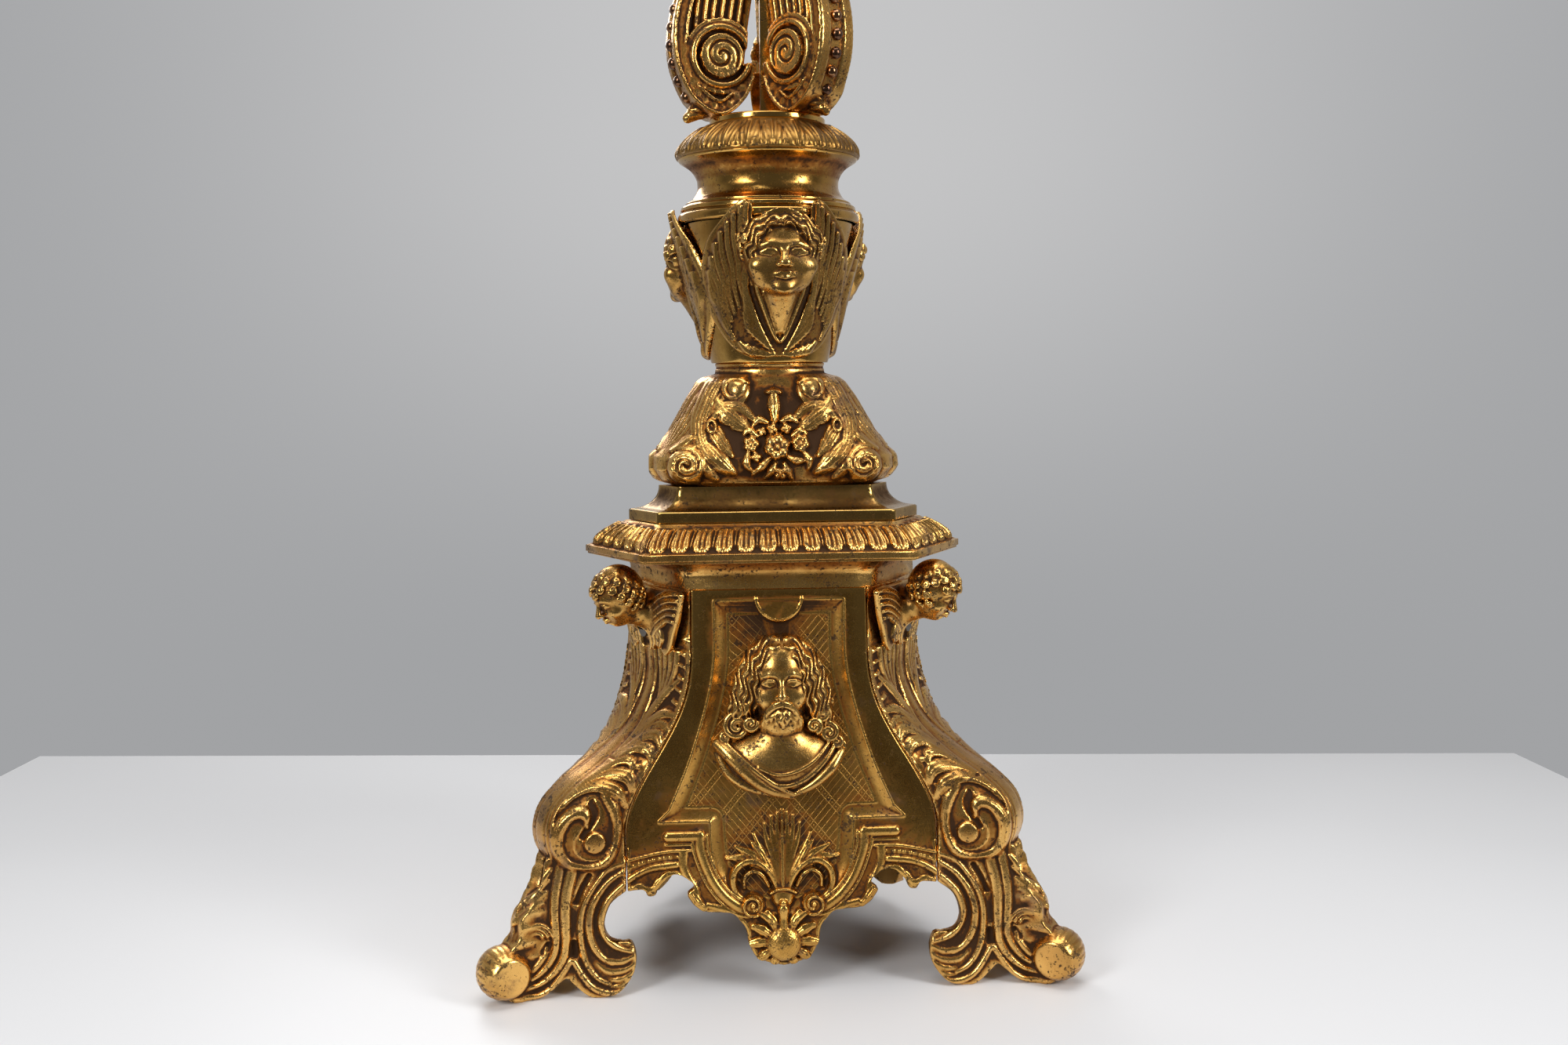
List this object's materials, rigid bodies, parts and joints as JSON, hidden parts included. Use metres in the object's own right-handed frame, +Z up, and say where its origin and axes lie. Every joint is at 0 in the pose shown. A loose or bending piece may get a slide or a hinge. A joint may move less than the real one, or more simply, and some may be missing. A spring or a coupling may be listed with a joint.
{
  "type": "torchere candle stand",
  "caption": "Three-sided cast base on scroll feet with relief panels, a winged-head cup, beaded scroll brackets, turned stem, drip pan and pricket for a large candle.",
  "frame": {"origin": "middle of the footprint's box, on the floor", "axes": "+Z up along the stem; the front side panel faces -Y; +X to its right"},
  "size_m": [0.3112, 0.2732, 0.9655],
  "materials": {
    "gilt_bright": "burnished gilt bronze with dark recesses",
    "gilt_aged": "worn gilt bronze with brown patina",
    "gilt_dark": "satin olive-brown gilt bronze",
    "steel": "dull browned steel",
    "iron": "rough cast"
  },
  "bodies": {
    "root": {"panel_front": "gilt_aged", "panel_right": "gilt_aged", "panel_left": "gilt_aged", "console_right": "gilt_dark", "console_back": "gilt_dark", "console_left": "gilt_dark", "cherub_right": "gilt_bright", "cherub_back": "gilt_bright", "cherub_left": "gilt_bright", "cherub_screws": "steel", "panel_screws": "steel", "bust_front": "gilt_bright", "bust_right": "gilt_bright", "bust_left": "gilt_bright", "bust_rivets": "steel", "base_cornice": "gilt_aged", "base_plinth": "gilt_dark", "calyx_foot": "gilt_aged", "stem_cup": "gilt_dark", "mask_front": "gilt_bright", "mask_right": "gilt_bright", "mask_left": "gilt_bright", "mask_pins": "steel", "turned_neck": "gilt_dark", "leaf_collar": "gilt_dark", "stem_disc": "gilt_aged", "bracket_right": "gilt_bright", "bracket_back": "gilt_bright", "bracket_left": "gilt_bright", "bracket_pins": "steel", "upper_plate": "gilt_dark", "vase_knop": "gilt_aged", "bead_knop": "gilt_dark", "fluted_shaft": "gilt_dark", "bell_capital": "gilt_aged", "wax_pan": "gilt_dark", "pricket_spike": "gilt_dark", "rod": "steel", "rod_spider": "iron", "rod_washer": "steel", "hex_nut": "steel"}
  },
  "joints": []
}
